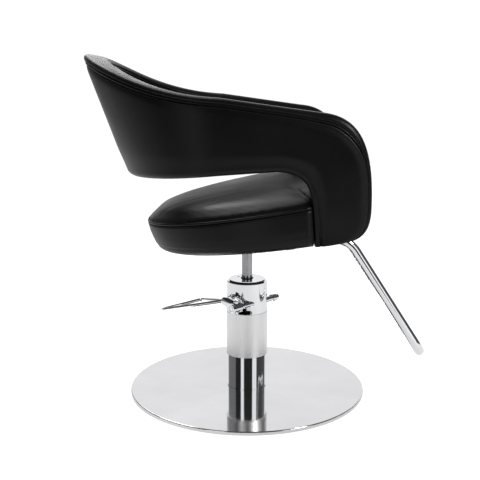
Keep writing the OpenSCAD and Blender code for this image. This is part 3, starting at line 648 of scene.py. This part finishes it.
def dip(distance, depth=GROOVE, width=GROOVE_W):
    """How far the leather dives into a seam at a distance from it."""
    return -depth * math.exp(-((distance / width) ** 2))


def puff(distance, height, width):
    return height * (1 - math.exp(-((distance / width) ** 2)))


def gusset_section(i):
    edge = reach_of(SEAM_DEPTH[i])
    samples = edge * np.sin(np.linspace(-math.pi / 2, math.pi / 2, 44))
    out = []
    for reach in samples:
        p, o = rim_curve(reach)
        out.append(p + o * dip(edge - abs(reach)))
    d = SEAM_DEPTH[i]
    out.append(np.array([d, GUSSET_BACK]))
    out.append(np.array([d, SHELL_T - GUSSET_BACK]))
    return out


def welt_section(side):
    def section(i):
        start = reach_of(SEAM_DEPTH[i])
        width = WELT_W[i]
        out = []
        for k in range(13):
            x = k / 12
            p, o = rim_curve(side * (start + width * x))
            out.append(p + o * (dip(width * min(x, 1 - x)) + WELT_CROWN * math.sin(math.pi * x)))
        p0, o0 = rim_curve(side * (start + width))
        p1, o1 = rim_curve(side * start)
        out.append(p0 - o0 * WELT_ROOT)
        out.append(p1 - o1 * WELT_ROOT)
        return out if side > 0 else out[::-1]
    return section


def outer_section(i):
    """Outer panel: from the welt down the outside, round the lower edge and up inside it."""
    length = LENGTHS[i]
    start = reach_of(SEAM_DEPTH[i]) + WELT_W[i]
    r = EDGE_R - EDGE_SHARPER * EDGE_SEAM[i]
    span = reach_of(length - r) - start
    fine = np.linspace(0, FINE_UP, 12)[:-1] / span
    share = np.concatenate([fine, np.linspace(FINE_UP / span, 1, 34)])
    full = (PUFF + SHOULDER_PUFF * SHOULDER[i]) * MM
    full_w = (PUFF_W + SHOULDER_PUFF_W * SHOULDER[i]) * MM
    out = []
    for x in share:
        p, o = rim_curve(start + span * x)
        rise = dip(span * x) + puff(span * x, full, full_w) * (1 - smoothstep(x, 0.75, 1.0))
        off = length - p[0] - EDGE_SEAM_UP
        groove = dip(off, EDGE_GROOVE, EDGE_GROOVE_W) + puff(off, EDGE_PUFF, EDGE_PUFF_W)
        out.append(p + o * (rise + EDGE_SEAM[i] * groove))
    for k in range(1, 9):
        t = math.pi / 2 * k / 8
        out.append(np.array([length - r + r * math.sin(t), r - r * math.cos(t)]))
    for k in range(9):
        t = math.pi / 2 * k / 8
        out.append(np.array([length - r + r * math.cos(t), SHELL_T - r + r * math.sin(t)]))
    out.append(np.array([length - r - LOW_SEAM, SHELL_T - dip(1 * MM)]))
    out.append(np.array([length - r - LOW_SEAM, OUTER_BACK]))
    out.append(np.array([SEAM_DEPTH[i] + WELT_W[i] + UNDER_WELT, OUTER_BACK]))
    return out


def inner_section(i):
    """Inner panel: from the inner welt down the inside to the seam above the lower edge."""
    length = LENGTHS[i]
    start = reach_of(SEAM_DEPTH[i]) + WELT_W[i]
    low_seam = length - EDGE_R - LOW_SEAM
    span = reach_of(low_seam) - start
    share = np.concatenate([
        np.linspace(0, FINE_UP, 12)[:-1] / span,
        np.linspace(FINE_UP / span, 1 - FINE_LOW / span, 22),
        np.linspace(1 - FINE_LOW / span, 1, 7)[1:],
    ])
    out = []
    for x in share:
        p, o = rim_curve(-(start + span * x))
        rise = dip(span * x) + dip(span * (1 - x))
        bow = math.sin(math.pi * min(1, max(0, x))) ** 0.6
        rise += INNER_PUFF * bow * smoothstep(span, 0.03, 0.12)
        out.append(p + o * rise)
    out.append(np.array([low_seam, INNER_BACK]))
    out.append(np.array([SEAM_DEPTH[i] + WELT_W[i] + UNDER_WELT, INNER_BACK]))
    return out[::-1]


def shell_piece(name, section):
    half = np.array([section_to_space(i, section(i)) for i in range(HALF)])
    mirrored = half * np.array([-1, 1, 1])
    rings = np.concatenate([mirrored[:0:-1], half])
    piece = loft(name, rings, "black_leather")
    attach(piece, "seat")
    return piece


def rim_line(offset, side, lift):
    """Curve round the whole shell at a distance past the upper seam, with outward normals."""
    points, normals = [], []
    for i in range(HALF):
        p, o = rim_curve(side * (reach_of(SEAM_DEPTH[i]) + offset(i)))
        a, b = section_to_space(i, [p + o * lift, p + o * (lift + 1 * MM)])
        points.append(a)
        normals.append(unit(b - a))
    flip = np.array([-1, 1, 1])
    points, normals = np.array(points), np.array(normals)
    return (np.concatenate([(points * flip)[:0:-1], points]),
            np.concatenate([(normals * flip)[:0:-1], normals]))


def make_shell():
    gusset = shell_piece("rim_band", gusset_section)
    outer = shell_piece("outer_panel", outer_section)
    inner = shell_piece("inner_panel", inner_section)
    welts = [shell_piece("outer_welt", welt_section(1)), shell_piece("inner_welt", welt_section(-1))]
    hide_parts("rim_gusset")
    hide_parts("shell_outer_cover")
    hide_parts("shell_inner_cover")
    for piece in welts:
        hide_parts("rim_welts")
    curves = []
    for side in (1, -1):
        curves.append(rim_line(lambda i: -2.4 * MM, side, 0.25 * MM))
        curves.append(rim_line(lambda i: WELT_W[i] + 2.6 * MM, side, 0.7 * MM))
    thread = stitches("shell_stitching", curves)
    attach(thread, "seat")


make_shell()

# ---------------------------------------------------------------- seat

SEAM_Z0 = 496 * MM
SEAM_SLOPE = 0.182
UNDER_Z0 = 408.5 * MM
UNDER_SLOPE = 0.147
SEAT_SIDE_U = 136 * MM
SEAT_FRONT_U = 232 * MM
SEAT_BACK = 382 * MM
SEAT_HALF = 287 * MM
SEAT_INNER = 227 * MM
SEAT_FRONT_R = 45 * MM
FRONT_TUCK = 0.45
SEAT_POWER = 2.1
CROWN = 33 * MM
DRAFT = 22 * MM
# The boxing's height, the share of it that is upright, and the round below that
BOXING_H = 84 * MM
BOXING_SIDE = 0.72
BOXING_R = 24 * MM
SEAT_LEAN = 6.5 * MM
SEAT_WELT = 6.5 * MM
SWELL_REACH = 7 * MM
SWELL_PRESSURE = 4.0
SWELL_FRAMES = 20
# Rounds of averaging that take the simulation's small lumps out of its result
EVEN_ROUNDS = 30


def seam_z(u):
    return SEAM_Z0 + SEAM_SLOPE * u


def under_z(u):
    return UNDER_Z0 + UNDER_SLOPE * u


def seat_outline(inset, back, lean=0.0):
    """Plan of the seat as rows of [u, s], round rear, narrower between the arms. The lean moves
    the side ends forward, along the rear edges of the arms."""
    half = []
    for k in range(49):
        t = math.pi / 2 * (1 - k / 48)
        half.append([
            SEAT_SIDE_U - (SEAT_BACK - inset - back) * math.sin(t) ** (2 / SEAT_POWER),
            (SEAT_HALF - inset) * math.cos(t) ** (2 / SEAT_POWER),
        ])
    notch = 6
    for k in range(1, notch):
        s = SEAT_HALF - inset - (SEAT_HALF - SEAT_INNER) * k / notch
        half.append([SEAT_SIDE_U + 0.5 * MM, s])
    front_u = SEAT_FRONT_U - FRONT_TUCK * inset
    corner_u, corner_s = front_u - SEAT_FRONT_R, SEAT_INNER - inset - SEAT_FRONT_R
    for u in np.linspace(SEAT_SIDE_U + 1 * MM, corner_u, 10)[:-1]:
        half.append([u, SEAT_INNER - inset])
    for k in range(13):
        t = math.pi / 2 * k / 12
        half.append([corner_u + SEAT_FRONT_R * math.sin(t), corner_s + SEAT_FRONT_R * math.cos(t)])
    for s in np.linspace(corner_s, 0, 9)[1:]:
        half.append([front_u, s])
    half = np.array(half)
    half[:, 0] += lean * smoothstep(half[:, 0], SEAT_SIDE_U - 60 * MM, SEAT_SIDE_U)
    other = half[-2:0:-1] * [1, -1]
    return np.concatenate([half, other])


def seat_ring(drop, inset, back):
    """Outline at a height drop below the seam, measured as a share of the boxing's height."""
    q = seat_outline(inset, back, SEAT_LEAN * drop)
    z = seam_z(q[:, 0]) + (under_z(q[:, 0]) - seam_z(q[:, 0])) * drop
    return np.stack([q[:, 1], -q[:, 0], z], 1)


def crown_ring(scale):
    """The seat's outline drawn in towards its middle, at the crowned top's height there."""
    q = seat_outline(2 * MM, 0)
    u = q[:, 0] * scale
    s = q[:, 1] * scale
    rise = CROWN * (1 - scale ** 3.6) ** 0.5
    return np.stack([s, -u, seam_z(u) + rise], 1)


def cushion_start():
    scales = np.sin(np.linspace(0.04, 1, 34) * math.pi / 2)[::-1]
    rings = [seat_ring(0.35, 10 * MM, 12 * MM), seat_ring(0.05, 4 * MM, 0)]
    rings += [crown_ring(s) for s in np.minimum(scales, 0.9985)]
    return loft("seat_top", rings, "black_leather")


def evened(data, field, rounds):
    """A field on the mesh's points, averaged with its neighbours a number of times."""
    ends = np.empty(len(data.edges) * 2, dtype=np.int64)
    data.edges.foreach_get("vertices", ends)
    a, b = ends.reshape(-1, 2).T
    count = np.bincount(ends, minlength=len(field))[:, None]
    for _ in range(rounds):
        total = np.zeros_like(field)
        np.add.at(total, a, field[b])
        np.add.at(total, b, field[a])
        field = 0.5 * field + 0.5 * total / count
    return field


def swell(obj):
    """Remeshes a pad, blows it up a little as cloth, and keeps the result."""
    voxel = obj.modifiers.new("voxels", "REMESH")
    voxel.mode = "VOXEL"
    voxel.voxel_size = 5.5 * MM
    voxel.use_smooth_shade = True
    deps = bpy.context.evaluated_depsgraph_get()
    data = bpy.data.meshes.new_from_object(obj.evaluated_get(deps))
    obj.modifiers.clear()
    old, obj.data = obj.data, data
    bpy.data.meshes.remove(old)
    dress(obj, "black_leather")
    rest = np.empty(len(data.vertices) * 3)
    data.vertices.foreach_get("co", rest)
    rest = rest.reshape(-1, 3)
    above = rest[:, 2] - seam_z(-rest[:, 1])
    cloth = obj.modifiers.new("cloth", "CLOTH")
    cloth.settings.use_pressure = True
    cloth.settings.uniform_pressure_force = SWELL_PRESSURE
    cloth.settings.effector_weights.gravity = 0
    cloth.settings.quality = 5
    cloth.settings.tension_stiffness = 25
    cloth.settings.compression_stiffness = 25
    cloth.settings.bending_stiffness = 2.0
    scene = bpy.context.scene
    for step in range(1, SWELL_FRAMES + 1):
        scene.frame_set(step)
    deps = bpy.context.evaluated_depsgraph_get()
    moved = np.empty(len(data.vertices) * 3)
    obj.evaluated_get(deps).data.vertices.foreach_get("co", moved)
    moved = moved.reshape(-1, 3)
    obj.modifiers.clear()
    scene.frame_set(1)
    shift = evened(data, moved - rest, EVEN_ROUNDS)
    size = np.linalg.norm(shift, axis=1, keepdims=True) + 1e-9
    cap = SWELL_REACH * smoothstep(above, -1 * MM, 16 * MM)[:, None]
    shift *= np.minimum(size, cap) / size
    data.vertices.foreach_set("co", (rest + shift).ravel())
    data.update()


def crease(obj):
    """Faint lengthwise folds where the seat's top is stretched towards its rear."""
    data = obj.data
    co = np.empty(len(data.vertices) * 3)
    data.vertices.foreach_get("co", co)
    co = co.reshape(-1, 3)
    above = co[:, 2] - seam_z(-co[:, 1])
    top = smoothstep(above, 8 * MM, 24 * MM)
    lines = np.zeros(len(co))
    for k in range(9):
        middle = -0.19 + 0.047 * k + rng.uniform(-0.012, 0.012)
        lean = rng.uniform(-0.12, 0.12)
        width = rng.uniform(5, 9) * MM
        start, end = rng.uniform(-0.02, 0.06), rng.uniform(0.12, 0.2)
        across = co[:, 0] - middle - lean * co[:, 1]
        window = smoothstep(co[:, 1], start - 0.08, start)
        window *= 1 - smoothstep(co[:, 1], end, end + 0.06)
        lines += rng.uniform(0.25, 0.6) * MM * np.exp(-((across / width) ** 2)) * window
    co[:, 2] -= lines * top
    data.vertices.foreach_set("co", co.ravel())
    data.update()


def make_top():
    top = cushion_start()
    swell(top)
    crease(top)
    data = top.data
    data.polygons.foreach_set("use_smooth", [True] * len(data.polygons))
    fine = top.modifiers.new("fine", "SUBSURF")
    fine.levels = 1
    fine.render_levels = 1
    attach(top, "seat")
    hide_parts("seat_cushion")


def around(name, rings):
    """Closed band of leather made from outlines that each run the whole way round the seat."""
    return loft(name, np.transpose(np.array(rings), (1, 0, 2)), "black_leather", closed=True)


def make_welt_strip():
    rings = []
    for k in range(12):
        t = 2 * math.pi * k / 12
        out = 2.3 * MM * math.cos(t)
        drop = SEAT_WELT / 2 * (1 + math.sin(t) * 0.92) + 0.3 * MM
        ring = seat_ring(0, 0.6 * MM - out, 0)
        ring[:, 2] -= drop
        rings.append(ring)
    welt = around("seat_welt_strip", rings)
    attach(welt, "seat")
    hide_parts("seat_welt")


def make_boxing():
    profile = []
    first = SEAT_WELT / BOXING_H
    side = BOXING_SIDE
    for x in np.concatenate([np.linspace(0, 0.12, 8)[:-1], np.linspace(0.12, side, 12)]):
        drop = first + (1 - first) * x
        away = x * BOXING_H
        tuck = 1.8 * MM * math.exp(-((away / (2 * MM)) ** 2))
        bulge = puff(away, 1.4 * MM, 4 * MM) * (1 - smoothstep(x, 0.5, side))
        profile.append((drop, tuck - bulge, DRAFT * smoothstep(x, -0.1, 1.1)))
    for k in range(1, 11):
        t = math.pi / 2 * k / 10
        inset = BOXING_R * (1 - math.cos(t)) ** 1.1
        back = DRAFT * (0.86 + 0.14 * k / 10)
        profile.append((side + (1 - side) * math.sin(t) ** 1.1, inset, back))
    profile.append((1.0, BOXING_R + 10 * MM, DRAFT))
    profile.append((0.94, BOXING_R + 10 * MM, DRAFT))
    profile.append((0.7, 8 * MM, DRAFT * 0.8))
    profile.append((first + 0.02, 6 * MM, DRAFT * 0.05))
    boxing = around("seat_side_band", [seat_ring(*p) for p in profile])
    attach(boxing, "seat")
    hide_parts("seat_boxing")


def make_seat_thread():
    points = seat_ring(0, -0.4 * MM, 0)
    points[:, 2] -= SEAT_WELT + 3.2 * MM
    outward = unit(points * [1, 1, 0])
    # The row starts a little way along the outline, away from the arms' edges
    start = 60
    curve = (np.roll(points, start, axis=0), np.roll(outward, start, axis=0))
    thread = stitches("seat_stitching", [curve])
    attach(thread, "seat")


make_top()
make_welt_strip()
make_boxing()
make_seat_thread()

# ---------------------------------------------------------------- metalwork

FOOT_R = 11.75 * MM
FOOT_WALL = 2 * MM
FOOT_HALF = 160 * MM
FOOT_BENDS = (75 * MM, 45 * MM, 45 * MM, 75 * MM)
# A point (u, z) on the slanted legs' line, and how far forward they go for each metre down
FOOT_LINE = (241 * MM, 413 * MM, 0.652)
FOOT_BAR_Z = 142 * MM
FOOT_TAIL_U = 70 * MM
# The legs run along the seat board's underside, a little below it
BOARD_LIFT = 8 * MM
FOOT_DROP = 2.5 * MM
FOOT_RUN_Z = UNDER_Z0 + BOARD_LIFT - (FOOT_R + FOOT_DROP) / math.cos(math.atan(UNDER_SLOPE))


def make_footrest():
    line_u, line_z, run = FOOT_LINE
    knee_u = (line_u + run * (line_z - FOOT_RUN_Z)) / (1 + run * UNDER_SLOPE)
    side = [
        (FOOT_TAIL_U, FOOT_RUN_Z + UNDER_SLOPE * FOOT_TAIL_U),
        (knee_u, FOOT_RUN_Z + UNDER_SLOPE * knee_u),
        (line_u + run * (line_z - FOOT_BAR_Z), FOOT_BAR_Z),
    ]
    route = [(-FOOT_HALF, -u, z) for u, z in side] + [(FOOT_HALF, -u, z) for u, z in side[::-1]]
    path = rounded_route(route, FOOT_BENDS, 24)
    outer = np.array(tube_rings(path, FOOT_R, (1, 0, 0), 64))
    inner = np.array(tube_rings(path, FOOT_R - FOOT_WALL, (1, 0, 0), 64))
    rings = np.concatenate([outer, inner[::-1]])
    tube = loft("footrest_bar", np.transpose(rings, (1, 0, 2)), "chrome", closed=True)
    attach(tube, "seat")
    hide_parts("footrest_tube")


make_footrest()

SPRING_LOW = 188.5 * MM
SPRING_HIGH = 212 * MM
SPRING_R = 5.6 * MM
SPRING_WIRE = 0.9 * MM
SPRING_TURNS = 6
PLUNGER_OUT = 28 * MM


def make_spring():
    """Return spring round the pump plunger, which the pedal compresses; the coil here is built at
    one fixed length.
    """
    centre = np.array([-PLUNGER_OUT / math.sqrt(2), -PLUNGER_OUT / math.sqrt(2), 0])
    low, high = SPRING_LOW + SPRING_WIRE, SPRING_HIGH - SPRING_WIRE
    path = []
    for share in np.linspace(0, 1, SPRING_TURNS * 24 + 1):
        a = 2 * math.pi * SPRING_TURNS * share
        height = low + (high - low) * share
        path.append(centre + [SPRING_R * math.cos(a), SPRING_R * math.sin(a), height])
    coil = loft("return_spring", tube_rings(path, SPRING_WIRE, (1, 0, 0), 10), "zinc_fastener")
    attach(coil, "base")
    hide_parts("plunger_spring")
    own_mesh(coil)


make_spring()

NODE_LOOKS = {
    "floor_pad": "rubber", "base_disc": "mild_steel", "base_cover": "polished_plate",
    "base_bolts": "zinc_fastener", "tube_foot": "mild_steel", "lower_cylinder": "chrome",
    "column_sleeve": "satin_sleeve", "pump_head": "chrome", "cap_gasket": "rubber",
    "head_cap": "chrome", "filler_plug": "black_paint", "ram_wiper_seal": "rubber",
    "guide_bush": "bronze", "inner_cylinder": "mild_steel", "valve_block": "mild_steel",
    "shaft_bushings": "bronze", "pump_plunger": "zinc_fastener", "cross_shaft": "chrome",
    "crank_arm": "mild_steel", "pedal_hub": "chrome", "hub_set_screw": "zinc_fastener",
    "pedal_loop": "chrome", "shaft_collar": "chrome", "piston": "mild_steel",
    "piston_seal": "rubber", "ram": "ram_steel", "spindle_socket": "black_paint",
    "seat_mount_plate": "black_paint", "mount_bolts": "zinc_fastener", "seat_board": "plywood",
    "board_nuts": "zinc_fastener", "underside_cover": "black_cloth", "shell_frame": "plywood",
    "footrest_clamps": "black_paint", "footrest_screws": "zinc_fastener",
}
for node, look in NODE_LOOKS.items():
    dress(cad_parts[node], look)
